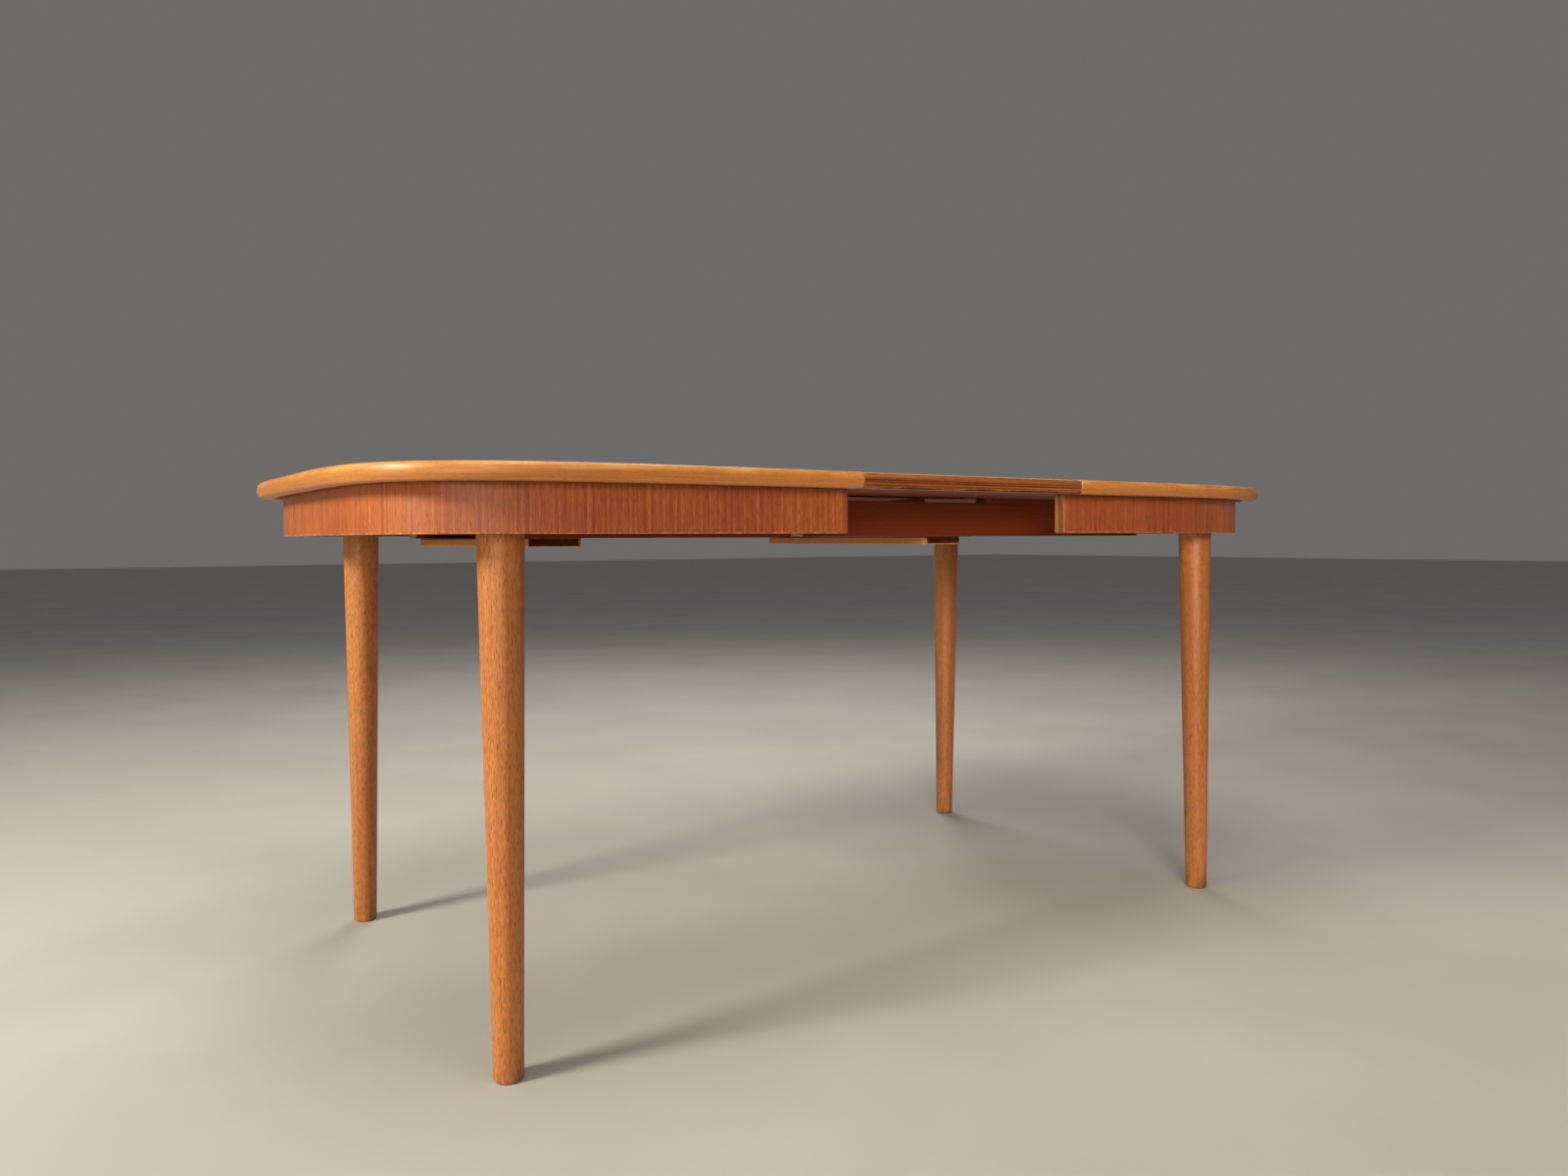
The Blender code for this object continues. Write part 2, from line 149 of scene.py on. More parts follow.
# Each light's name, place, target, size, power, colour and spread in degrees: a warm key from the
# left, fill from the camera's side, a weak narrow one for the right end, and soft ones above
LIGHTS = (
    ("key", (-3.9, -0.1, 2.2), (-0.35, 0, 0.55), (0.9, 0.8), 155, (1.0, 0.96, 0.72), 180),
    ("front_left", (-4.4, -4.2, 1.1), (0.3, -0.1, 0.5), (1.6, 1.0), 62, (1.0, 0.78, 0.54), 180),
    ("right_end", (-1.7, -3.0, 1.3), (0.75, -0.15, 0.45), (0.9, 0.7), 4.2, (1.0, 0.86, 0.66), 42),
    ("overhead", (-0.5, -0.7, 2.9), (0, -0.2, 0.7), (1.8, 1.2), 36, (1.0, 0.88, 0.70), 180),
    ("rim", (1.2, 2.4, 3.2), (0.3, 0.2, 0.6), (1.6, 1.2), 50, (1.0, 0.92, 0.82), 180),
)
WORLD_COLOUR = (0.90, 0.87, 0.84, 1)
WORLD_STRENGTH = 0.17
FLOOR_SIZE = 30
FLOOR_TONES = ((184, 184, 185), (193, 193, 193))
FLOOR_CLOUDS = (2.5, 2.5, 2.5)

# Features per metre in the woods: along the fibres, then twice across them
WANDER_SCALE = (1.1, 7, 7)
STREAK_SCALE = (1.6, 170, 170)
PATCH_SCALE = (1.7, 6.5, 6.5)
RUB_SCALE = (14, 90, 90)
GLOSS_SCALE = (5, 24, 24)
FIBRES_ACROSS = 750
PORES_ALONG = 150
PORES_ACROSS = 1900

# What a metre along the log counts against one across it, and how much the seasons vary
TRUNK_TAPER = 0.012
SEASON_RATE = 0.45
SEASON_SPREAD = 4.0

# A wood's middle shade, from 0 dark to 1 light, and how far each feature moves it
MIDDLE_SHADE = 0.55
SEASON_SHADE = 1.6
LATE_SHADE = -0.22
STREAK_SHADE = 1.3
FIBRE_SHADE = 0.9
PATCH_SHADE = 1.0
LEAF_SHADE = 0.16
PORE_DARKNESS = 0.42

# The noise values between which pores and rubbed patches set in
PORE_EDGES = (0.56, 0.72)
RUB_EDGES = (0.42, 0.66)

# Where the darkest and the lightest tone lie on the ramp
DARKEST_AT = 0.12
LIGHTEST_AT = 0.88

# Each pair of veneer leaves comes from another place in the log
PAIR_SHIFT = 3.71
PAIR_DEPTH = 0.043

# Brush marks and stains per metre in the metals
BRUSH_SCALE = (2600, 2600, 300)
STAIN_SCALE = (240, 240, 240)

WOOD_IOR = 1.48
LACQUERED_SPECULAR = 0.5
BARE_SPECULAR = 0.25
COAT_ROUGHNESS = 0.46
GLOSS_SPREAD = 0.35
PORE_ROUGHNESS = 0.25
PORE_RELIEF = -0.9
FIBRE_RELIEF = 0.5
RELIEF_STRENGTH = 0.35
RELIEF_DEPTH = 0.00018

# Each wood's look. Tones and worn are sRGB, and the rest is told in wood()
WOODS = {
    "top": dict(
        name="teak_top_veneer",
        tones=((128, 66, 26), (172, 98, 42), (196, 122, 56), (214, 146, 76)),
        ring=0.0050, heart=(0, 0.5, 0.0), warp=0.030, figure=0.42, streaks=0.35,
        patches=0.25, pores=0.35, roughness=0.36, lacquer=0.4, leaf=0.146, worn=(222, 168, 104),
    ),
    "band": dict(
        name="teak_edge_band",
        tones=((140, 70, 24), (178, 102, 40), (202, 130, 56), (220, 156, 78)),
        ring=0.0022, heart=(0, 0.12, 0.05), warp=0.005, figure=0.18, streaks=0.24, fibre=0.55,
        patches=0.20, pores=0.45, roughness=0.42, lacquer=0.4, worn=(232, 184, 108),
    ),
    "leaf_edge": dict(
        name="leaf_edge_wood",
        tones=((70, 30, 12), (122, 64, 28), (164, 96, 48), (192, 126, 70)),
        ring=0.0026, heart=(0, 0.05, 0.02), warp=0.005, figure=1.15, streaks=0.7, fibre=0.7,
        patches=0.3, roughness=0.42, worn=(206, 148, 88),
    ),
    "apron": dict(
        name="apron_veneer",
        tones=((112, 42, 16), (152, 68, 28), (178, 92, 40), (208, 134, 68)),
        ring=0.0022, heart=(0, 0.4, 0.0), warp=0.004, figure=0.34, streaks=0.40, fibre=0.95, dash=38,
        patches=0.30, pores=0.6, pore_size=1.3, roughness=0.46, lacquer=0.4, leaf=0.110,
        worn=(214, 146, 88),
    ),
    # The apron end strips' caps, lighter than their wood as painted light where the leaf shades them.
    # The leaf veneer's rim uses it too, as a painted highlight line
    "apron_end": dict(
        name="apron_end_painted_light",
        tones=((140, 90, 50), (200, 146, 92), (226, 178, 122), (240, 204, 152)),
        ring=0.0030, heart=(0, 0.03, 0.02), warp=0.003, figure=0.7, streaks=0.5,
        patches=0.3, roughness=0.55,
    ),
    "leg": dict(
        name="leg_teak",
        tones=((124, 58, 20), (170, 94, 38), (196, 122, 54), (216, 154, 80)),
        ring=0.0034, heart=(0, 0.045, 0.025), warp=0.008, figure=0.20, streaks=0.24, fibre=1.0, dash=110,
        patches=0.40, pores=0.8, pore_size=1.5, roughness=0.44, lacquer=0.4, worn=(112, 72, 40),
    ),
    # The rails' wood. It also darkens the leaf core's underside, as painted shade in the gap under the
    # leaf
    "rail": dict(
        name="rail_wood",
        tones=((90, 32, 12), (114, 44, 18), (132, 56, 24), (148, 72, 34)),
        ring=0.0040, heart=(0, 0.3, 0.1), warp=0.008, figure=0.22, streaks=0.35,
        patches=0.35, roughness=0.52,
    ),
    "pale_end": dict(
        name="rail_end_grain",
        tones=((130, 84, 50), (172, 122, 76), (196, 148, 100), (212, 170, 124)),
        ring=0.0030, heart=(0, 0.3, 0.1), warp=0.004, figure=0.6, streaks=0.2,
        patches=0.3, roughness=0.7,
    ),
    "board": dict(
        name="board_wood",
        tones=((160, 98, 56), (190, 126, 76), (210, 148, 94), (224, 170, 118)),
        ring=0.0040, heart=(0, 0.08, 0.02), warp=0.016, figure=0.45, streaks=0.3,
        patches=0.3, roughness=0.62,
    ),
    # The cross boards' end faces: darkened as painted shade, where they face away from the key light
    "board_end": dict(
        name="board_end_painted_shade",
        tones=((42, 14, 7), (60, 22, 11), (78, 32, 16), (96, 44, 23)),
        ring=0.0030, heart=(0, 0.08, 0.02), warp=0.004, figure=0.5, streaks=0.2,
        patches=0.4, roughness=0.7,
    ),
    "block": dict(
        name="block_beech",
        tones=((170, 124, 84), (194, 148, 104), (208, 166, 122), (220, 184, 142)),
        ring=0.0040, heart=(0, 0.1, 0.06), warp=0.006, figure=0.3, streaks=0.3,
        patches=0.3, pores=0.7, roughness=0.66,
    ),
    "underside": dict(
        name="underside_veneer",
        tones=((92, 50, 27), (114, 66, 38), (132, 80, 49), (148, 96, 62)),
        ring=0.0050, heart=(0, 0.5, 0.0), warp=0.02, figure=0.35, streaks=0.35,
        patches=0.4, roughness=0.68, leaf=0.21,
    ),
}

# Each metal's name, colour and roughness
METALS = {
    "steel": ("screw_steel", (0.46, 0.45, 0.43, 1), 0.36),
    "brass": ("insert_brass", (0.74, 0.54, 0.24, 1), 0.32),
}

QUARTER = math.pi / 2
SIDES = {"left": -1, "right": 1}
BODY = {"left": "left_half", "right": "right_half"}
FRONT, REAR = -1, 1
RUNS = {"front": FRONT, "rear": REAR}
HARDWARE = {"hanger_bolt": "steel", "leg_insert": "brass"}

# How far along its log each piece was cut, so that no two show the same figure
LOG_PLACES = {
    "band": {"left": 0.0, "right": 5.3},
    "apron": {"left": 0.0, "right": 2.9},
    "rail": {"left": 0.0, "right": 4.7},
    "leaf": 9.1,
}

# The same from one piece of a kind to the next
LOG_STEPS = {
    "apron_end": 1.3,
    "lipping": 2.7,
    "leg": 1.7,
    "rail": 1.1,
    "board": 2.3,
    "block": 0.7,
}
APRON_END_VENEER = 0.4

# How worn each place is, from 0 to 1. The nose's wear, peaking on the band's top round, is rubbed wear
# and also a painted highlight along that edge
WEAR = {
    "nose": 0.45,
    "apron_rim": 0.8,
    "apron_back": 0.4,
    "lipping_rim": 0.4,
    "foot": 0.9,
    "inside": 0.2,
}

band_low, band_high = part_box("right_edge_band")
SEAM = band_low.x
HALF_LENGTH = band_high.x - SEAM
HALF_WIDTH = band_high.y
TOP = band_high.z
TOP_UNDER = band_low.z
apron_low, apron_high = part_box("right_apron")
APRON_INSET = HALF_WIDTH - apron_high.y
APRON_BOTTOM = apron_low.z
APRON_TOP = apron_high.z


# ---------------------------------------------------------------- camera, floor and light


def make_camera():
    cp, sp = math.cos(CAMERA_PITCH), math.sin(CAMERA_PITCH)
    cy, sy = math.cos(CAMERA_YAW), math.sin(CAMERA_YAW)
    forward = Vector((-sy * cp, cy * cp, sp))
    level = Vector((cy, sy, 0))
    upright = level.cross(forward)
    right = math.cos(CAMERA_ROLL) * level + math.sin(CAMERA_ROLL) * upright
    up = math.cos(CAMERA_ROLL) * upright - math.sin(CAMERA_ROLL) * level
    data = bpy.data.cameras.new("camera")
    data.lens = CAMERA_LENS
    data.sensor_width = CAMERA_SENSOR
    data.shift_y = CAMERA_SHIFT_Y
    camera = new_object("camera", data)
    turn = Matrix((right, up, -forward)).transposed()
    camera.matrix_world = Matrix.Translation(CAMERA_PLACE) @ turn.to_4x4()
    bpy.context.scene.camera = camera


def area_light(name, place, target, size, power, colour, spread):
    data = bpy.data.lights.new(name, "AREA")
    data.shape = "RECTANGLE"
    data.size, data.size_y = size
    data.energy = power
    data.color = colour
    data.spread = math.radians(spread)
    light = new_object(name, data)
    light.location = place
    light.rotation_euler = (Vector(target) - Vector(place)).to_track_quat("-Z", "Y").to_euler()


def make_light():
    world = bpy.data.worlds.new("studio")
    world.use_nodes = True
    back = world.node_tree.nodes["Background"]
    back.inputs["Color"].default_value = WORLD_COLOUR
    back.inputs["Strength"].default_value = WORLD_STRENGTH
    bpy.context.scene.world = world
    for light in LIGHTS:
        area_light(*light)
    bpy.context.scene.view_settings.view_transform = "Standard"


def make_floor():
    bm = bmesh.new()
    bmesh.ops.create_grid(bm, x_segments=1, y_segments=1, size=FLOOR_SIZE)
    floor = new_object("floor", new_mesh("floor", bm, [plain_floor()]))


# ---------------------------------------------------------------- material helpers


def srgb(r, g, b):
    """An sRGB colour of 0 to 255 as linear values with alpha."""
    scaled = [v / 255 for v in (r, g, b)]
    linear = [v / 12.92 if v <= 0.04045 else ((v + 0.055) / 1.055) ** 2.4 for v in scaled]
    return (*linear, 1)


def darker(colour, share):
    return (*(share * v for v in colour[:3]), 1)


def new_material(name):
    mat = bpy.data.materials.new(name)
    mat.use_nodes = True
    return mat, mat.node_tree, mat.node_tree.nodes["Principled BSDF"]


def feed(tree, socket, value):
    """Links value to the socket if it is a socket too, and sets the socket to it if it isn't."""
    if isinstance(value, bpy.types.NodeSocket):
        tree.links.new(value, socket)
    else:
        socket.default_value = value


def node(tree, kind, settings=None, values=(), **inputs):
    """A node with its settings, its first inputs fed from values, and others by name."""
    made = tree.nodes.new(kind)
    for key, value in (settings or {}).items():
        setattr(made, key, value)
    for socket, value in zip(made.inputs, values):
        feed(tree, socket, value)
    for key, value in inputs.items():
        feed(tree, made.inputs[key], value)
    return made


def maths(tree, operation, a, b=0.0, c=0.0, clamp=False):
    settings = {"operation": operation, "use_clamp": clamp}
    return node(tree, "ShaderNodeMath", settings, (a, b, c)).outputs[0]


def vector_maths(tree, operation, a, b=(0, 0, 0)):
    return node(tree, "ShaderNodeVectorMath", {"operation": operation}, (a, b)).outputs["Vector"]


def noise(tree, vector, stretch, detail=2.0, roughness=0.5):
    """Noise whose features are 1 / stretch metres long on each axis."""
    scaled = vector_maths(tree, "MULTIPLY", vector, stretch)
    made = node(tree, "ShaderNodeTexNoise", Vector=scaled, Scale=1.0, Detail=detail, Roughness=roughness)
    return made.outputs[0]


def ramp(tree, factor, stops):
    made = node(tree, "ShaderNodeValToRGB", Fac=factor)
    elements = made.color_ramp.elements
    while len(elements) < len(stops):
        elements.new(0.5)
    for element, (position, colour) in zip(elements, stops):
        element.position = position
        element.color = colour
    return made.outputs["Color"]


def mix_colour(tree, factor, a, b):
    """The Mix node's colour sockets share their names with others, so they go by number."""
    made = node(tree, "ShaderNodeMix", {"data_type": "RGBA"})
    for number, value in ((0, factor), (6, a), (7, b)):
        feed(tree, made.inputs[number], value)
    return made.outputs[2]


def smooth_step(tree, value, start, end):
    made = node(tree, "ShaderNodeMapRange", {"interpolation_type": "SMOOTHSTEP"}, Value=value)
    made.inputs["From Min"].default_value = start
    made.inputs["From Max"].default_value = end
    return made.outputs[0]


def from_middle(tree, value, strength, start):
    """start, moved by how far a noise value of 0 to 1 is from its middle."""
    return maths(tree, "MULTIPLY_ADD", maths(tree, "SUBTRACT", value, 0.5), strength, start)


def add_relief(tree, shader, height, strength, depth):
    bump = node(tree, "ShaderNodeBump", Height=height, Strength=strength, Distance=depth)
    tree.links.new(bump.outputs[0], shader.inputs["Normal"])


# ---------------------------------------------------------------- materials


def book_matched(tree, grain, leaf):
    """Veneer laid in leaves of one width, each second one mirrored.

    Returns the coordinates in the log and each leaf's own tone, from 0 to 1.
    """
    parts = node(tree, "ShaderNodeSeparateXYZ", Vector=grain)
    mirrored = maths(tree, "PINGPONG", parts.outputs["Y"], leaf)
    pair = maths(tree, "FLOOR", maths(tree, "DIVIDE", parts.outputs["Y"], 2 * leaf))
    along = maths(tree, "ADD", parts.outputs["X"], maths(tree, "MULTIPLY", pair, PAIR_SHIFT))
    depth = maths(tree, "ADD", parts.outputs["Z"], maths(tree, "MULTIPLY", pair, PAIR_DEPTH))
    count = maths(tree, "FLOOR", maths(tree, "DIVIDE", parts.outputs["Y"], leaf))
    tone = node(tree, "ShaderNodeTexWhiteNoise", {"noise_dimensions": "1D"}, W=count).outputs["Value"]
    return node(tree, "ShaderNodeCombineXYZ", X=along, Y=mirrored, Z=depth).outputs[0], tone


def wandering(tree, grain, warp):
    """The coordinates in the log, bent across the fibres by up to half of warp."""
    coarse = vector_maths(tree, "MULTIPLY", grain, WANDER_SCALE)
    wander = node(tree, "ShaderNodeTexNoise", Vector=coarse, Scale=1.0, Detail=2.0).outputs["Color"]
    wander = vector_maths(tree, "SUBTRACT", wander, (0.5, 0.5, 0.5))
    wander = vector_maths(tree, "MULTIPLY", wander, (0, warp, warp))
    return vector_maths(tree, "ADD", grain, wander)


def growth_rings(tree, bent, ring, heart):
    """Each season's own tone, and how late in its season the wood grew, both from 0 to 1."""
    across = vector_maths(tree, "MULTIPLY", bent, (TRUNK_TAPER, 1, 1))
    from_heart = vector_maths(tree, "ADD", across, heart)
    length = node(tree, "ShaderNodeVectorMath", {"operation": "LENGTH"}, (from_heart,))
    growth = maths(tree, "DIVIDE", length.outputs["Value"], ring)
    seasons = node(
        tree, "ShaderNodeTexNoise", {"noise_dimensions": "1D"},
        W=growth, Scale=SEASON_RATE, Detail=4.0, Roughness=0.65,
    ).outputs[0]
    late = maths(tree, "FRACT", from_middle(tree, seasons, SEASON_SPREAD, growth))
    return seasons, smooth_step(tree, late, 0.5, 1.0)


def worn_colour(tree, grain, colour, worn):
    """The worn colour laid in rubbed patches where the piece's wear attribute asks for it. On the band's
    top round it is also a painted highlight.
    """
    wear = node(tree, "ShaderNodeAttribute", {"attribute_name": "wear"}).outputs["Fac"]
    rub = smooth_step(tree, noise(tree, grain, RUB_SCALE, detail=4.0, roughness=0.7), *RUB_EDGES)
    share = maths(tree, "MULTIPLY", wear, rub, clamp=True)
    return mix_colour(tree, share, colour, worn)


def wood(
    name,
    tones,
    ring,
    heart,
    warp,
    figure,
    streaks,
    patches,
    roughness,
    fibre=0.5,
    dash=9,
    pores=0.5,
    pore_size=1.0,
    lacquer=0.0,
    leaf=None,
    worn=None,
):
    """A wood seen through a thin oil or lacquer.

    tones go from the darkest to the lightest. ring is the growth rings' spacing, heart the place of
    the log's axis across the grain, warp how far the fibres wander, and dash how many fibre streaks
    follow each other in a metre. leaf is the width of the veneer's leaves, pore_size the pores' size
    beside a small one, and worn the colour of rubbed places. The other strengths are shares.
    """
    mat, tree, shader = new_material(name)
    grain = node(tree, "ShaderNodeAttribute", {"attribute_name": "grain"}).outputs["Vector"]
    leaf_tone = 0.5
    if leaf:
        grain, leaf_tone = book_matched(tree, grain, leaf)
    bent = wandering(tree, grain, warp)
    seasons, late = growth_rings(tree, bent, ring, heart)
    fine = noise(tree, bent, (dash, FIBRES_ACROSS, FIBRES_ACROSS), detail=3.0, roughness=0.7)
    streak = noise(tree, bent, STREAK_SCALE, detail=3.0, roughness=0.6)
    patch = noise(tree, grain, PATCH_SCALE)
    pore_scale = [count / pore_size for count in (PORES_ALONG, PORES_ACROSS, PORES_ACROSS)]
    pore = noise(tree, bent, pore_scale, detail=1.0)

    shade = from_middle(tree, seasons, SEASON_SHADE * figure, MIDDLE_SHADE)
    shade = maths(tree, "MULTIPLY_ADD", late, LATE_SHADE * figure, shade)
    shade = from_middle(tree, streak, STREAK_SHADE * streaks, shade)
    shade = from_middle(tree, fine, FIBRE_SHADE * fibre, shade)
    shade = from_middle(tree, patch, PATCH_SHADE * patches, shade)
    shade = from_middle(tree, leaf_tone, LEAF_SHADE, shade)
    colours = [srgb(*tone) for tone in tones]
    colour = ramp(tree, shade, list(zip(spread(DARKEST_AT, LIGHTEST_AT, len(tones) - 1), colours)))
    pore_share = maths(tree, "MULTIPLY", smooth_step(tree, pore, *PORE_EDGES), pores)
    colour = mix_colour(tree, pore_share, colour, darker(colours[0], PORE_DARKNESS))
    if worn:
        colour = worn_colour(tree, grain, colour, srgb(*worn))
    tree.links.new(colour, shader.inputs["Base Color"])

    gloss = noise(tree, grain, GLOSS_SCALE, detail=3.0)
    rough = from_middle(tree, gloss, GLOSS_SPREAD, roughness)
    rough = maths(tree, "MULTIPLY_ADD", pore_share, PORE_ROUGHNESS, rough)
    tree.links.new(rough, shader.inputs["Roughness"])
    shader.inputs["IOR"].default_value = WOOD_IOR
    specular = LACQUERED_SPECULAR if lacquer else BARE_SPECULAR
    shader.inputs["Specular IOR Level"].default_value = specular
    shader.inputs["Coat Weight"].default_value = lacquer
    shader.inputs["Coat Roughness"].default_value = COAT_ROUGHNESS
    fibres = maths(tree, "MULTIPLY", fine, FIBRE_RELIEF)
    height = maths(tree, "MULTIPLY_ADD", pore_share, PORE_RELIEF, fibres)
    add_relief(tree, shader, height, RELIEF_STRENGTH, RELIEF_DEPTH)
    return mat


def metal(name, colour, roughness):
    """A worked metal with fine brushing and darker stains."""
    mat, tree, shader = new_material(name)
    place = node(tree, "ShaderNodeNewGeometry").outputs["Position"]
    brushed = noise(tree, place, BRUSH_SCALE)
    stain = noise(tree, place, STAIN_SCALE, detail=3.0)
    tone = ramp(tree, stain, [(0.35, darker(colour, 0.55)), (0.62, colour)])
    tree.links.new(tone, shader.inputs["Base Color"])
    rough = node(tree, "ShaderNodeMapRange", Value=brushed)
    rough.inputs["To Min"].default_value = roughness - 0.08
    rough.inputs["To Max"].default_value = roughness + 0.12
    tree.links.new(rough.outputs[0], shader.inputs["Roughness"])
    shader.inputs["Metallic"].default_value = 1.0
    add_relief(tree, shader, brushed, 0.2, 0.00005)
    return mat


def plain_floor():
    mat, tree, shader = new_material("pale_floor")
    place = node(tree, "ShaderNodeNewGeometry").outputs["Position"]
    cloud = noise(tree, place, FLOOR_CLOUDS, detail=4.0)
    dark, light = [srgb(*tone) for tone in FLOOR_TONES]
    tone = ramp(tree, cloud, [(0.3, dark), (0.7, light)])
    tree.links.new(tone, shader.inputs["Base Color"])
    shader.inputs["Roughness"].default_value = 0.7
    return mat


def make_materials():
    mats = {key: wood(**look) for key, look in WOODS.items()}
    mats.update((key, metal(*look)) for key, look in METALS.items())
    return mats


# ---------------------------------------------------------------- mesh helpers


def new_object(name, data):
    made = bpy.data.objects.new(name, data)
    bpy.context.scene.collection.objects.link(made)
    return made


def new_mesh(name, bm, mats=()):
    """A mesh from bm, which is freed, with its materials."""
    mesh = bpy.data.meshes.new(name)
    bm.to_mesh(mesh)
    bm.free()
    for mat in mats:
        mesh.materials.append(mat)
    return mesh


def spread(start, end, steps):
    return [start + (end - start) * i / steps for i in range(steps + 1)]


def outline_point(angle, inset):
    """A point of a half's outline, by polar angle from the middle of its seam, moved in by inset."""
    c = max(math.cos(angle), 0.0)
    s = math.sin(angle)
    n = OUTLINE_POWER
    reach = ((c / HALF_LENGTH) ** n + (abs(s) / HALF_WIDTH) ** n) ** (-1 / n)
    point = Vector((reach * c, reach * s))
    slope_x = point.x ** (n - 1) / HALF_LENGTH**n
    slope_y = math.copysign(abs(point.y) ** (n - 1) / HALF_WIDTH**n, point.y)
    return point - inset * Vector((slope_x, slope_y)).normalized()


ANGLES = spread(-QUARTER, QUARTER, OUTLINE_STEPS)


def arc_lengths():
    """How far along the outline each of ANGLES lies, from the front end of the seam."""
    lengths = [0.0]
    points = [outline_point(a, 0) for a in ANGLES]
    for near, far in zip(points, points[1:]):
        lengths.append(lengths[-1] + (far - near).length)
    return lengths


LENGTHS = arc_lengths()


def at_side(side, point, z):
    return Vector((SIDES[side] * (SEAM + point.x), point.y, z))


def along_table(log):
    """Wood coordinates with the fibres along X, from a piece cut log metres along its log."""
    return lambda p: (p.x + log, p.y, p.z)


def across_table(log):
    """Wood coordinates with the fibres along Y, from a piece cut log metres along its log."""
    return lambda p: (p.y + log, p.x, p.z)


def on_edge(log):
    """The same as along_table, for a board stood on its edge."""
    return lambda p: (p.x + log, p.z, p.y)


def ends_along(axis):
    """Picks the second material for the faces that look along an axis."""
    return lambda face: int(abs(face.normal[axis]) > LOOKS_ALONG)


def bridge(bm, rings):
    """Quads between neighbouring rings of points."""
    for near, far in zip(rings, rings[1:]):
        for i in range(len(near)):
            j = (i + 1) % len(near)
            bm.faces.new((near[i], near[j], far[j], far[i]))


class Piece:
    """A mesh in the making, whose points carry their place in the wood and how worn they are."""

    def __init__(self, name, mats):
        self.name = name
        self.mats = mats
        self.bm = bmesh.new()
        self.grain = self.bm.verts.layers.float_vector.new("grain")
        self.wear = self.bm.verts.layers.float.new("wear")

    def ring(self, points):
        """Points from (place, grain, wear)."""
        verts = []
        for place, grain, wear in points:
            vert = self.bm.verts.new(place)
            vert[self.grain] = grain
            vert[self.wear] = wear
            verts.append(vert)
        return verts

    def loft(self, rings):
        """A closed skin over the rings, with a cap on the first and the last."""
        bridge(self.bm, rings)
        self.bm.faces.new(rings[0])
        self.bm.faces.new(rings[-1])

    def finish(self, body, replaces=(), pick=None):
        """Makes the object. pick, if given, tells each face's material from the face."""
        bmesh.ops.recalc_face_normals(self.bm, faces=self.bm.faces)
        if pick:
            for face in self.bm.faces:
                face.material_index = pick(face)
        mesh = new_mesh(self.name, self.bm, self.mats)
        mesh.shade_smooth()
        mesh.set_sharp_from_angle(angle=math.radians(SHARP_ANGLE))
        obj = new_object(self.name, mesh)
        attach(obj, body)
        if replaces:
            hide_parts(*replaces)


class Sweep:
    """A section carried round a half's outline.

    section holds (inset, z, inset normal, z normal, wear), and log is the piece's place along its log.
    """

    def __init__(self, piece, side, section, log=0.0):
        self.piece = piece
        self.side = side
        self.section = section
        self.log = log

    def ring(self, point_at, along, shrink=0.0):
        """A ring drawn in by shrink, where point_at gives the outline's point at an inset."""
        points = []
        for inset, z, normal_in, normal_up, wear in self.section:
            place = at_side(self.side, point_at(inset - shrink * normal_in), z - shrink * normal_up)
            points.append((place, (along + self.log, inset, z), wear))
        return self.piece.ring(points)

    def straight(self, run, x, shrink=0.0):
        """A ring square to the front or rear run, at x from the seam."""
        along = x if run == FRONT else LENGTHS[-1] - x
        return self.ring(lambda inset: Vector((x, run * (HALF_WIDTH - inset))), along, shrink)

    def eased_end(self, run):
        """Rings from the seam inwards, rounded over SEAM_ROUND."""
        rings = []
        for a in spread(0, QUARTER, 5):
            x = SEAM_ROUND * (1 - math.cos(a))
            rings.append(self.straight(run, x, SEAM_ROUND * (1 - math.sin(a))))
        return rings

    def curve(self, start):
        """Rings round the outline from the front to the rear, clear of start from the seam."""
        rings = []
        for angle, along in list(zip(ANGLES, LENGTHS))[1:-1]:
            if outline_point(angle, 0).x > start + RING_GAP:
                rings.append(self.ring(lambda inset: outline_point(angle, inset), along))
        return rings


# ---------------------------------------------------------------- the top


def band_section():
    """The solid edge band: a small round above the nose, a deeper undercut below it."""
    nose = TOP - NOSE_Z
    drop = nose - TOP_UNDER
    points = [(BAND_WIDTH, TOP, 0, 0, 0.0), (BAND_WIDTH - JOINT, TOP, 0, 1, 0.0)]
    points.append(((BAND_WIDTH + NOSE_TOP_ROUND) / 2, TOP, 0, 1, 0.0))
    for a in spread(0, QUARTER, 10):
        inset = NOSE_TOP_ROUND * (1 - math.sin(a))
        # The wear peaks half-way round the top round: rubbed wear, and a painted highlight along the
        # band's top edge
        wear = WEAR["nose"] * math.sin(2 * a)
        points.append((inset, nose + NOSE_Z * math.cos(a), -math.sin(a), math.cos(a), wear))
    for a in spread(0, QUARTER, 10)[1:]:
        inset = NOSE_UNDERCUT * (1 - math.cos(a))
        points.append((inset, nose - drop * math.sin(a), -math.cos(a), -math.sin(a), 0.0))
    points.append((BAND_WIDTH, TOP_UNDER, 0, -1, 0.0))
    return points


def make_band(side, mats):
    piece = Piece(f"{side}_band", [mats["band"]])
    sweep = Sweep(piece, side, band_section(), LOG_PLACES["band"][side])
    front = sweep.eased_end(FRONT)
    curve = sweep.curve(SEAM_ROUND)
    rear = sweep.eased_end(REAR)
    piece.loft([*front, *curve, *reversed(rear)])
    piece.finish(BODY[side], [f"{side}_edge_band"])


def panel_ring(piece, side, z, inset, back):
    """A half panel's outline at one level, its seam side drawn back by back."""
    points = []
    for angle in ANGLES:
        point = outline_point(angle, inset)
        point.x = max(point.x, back)
        place = at_side(side, point, z)
        points.append((place, (place.x, place.y, z), 0.0))
    return piece.ring(points)


def panel_face(face):
    """Veneer above, the underside's veneer below, and a lipping on the seam side under the veneer."""
    middle = face.calc_center_median()
    if face.normal.z < -0.5:
        return 1
    on_seam = abs(abs(middle.x) - SEAM) < SEAM_NEAR
    return 2 if on_seam and middle.z < TOP - VENEER else 0


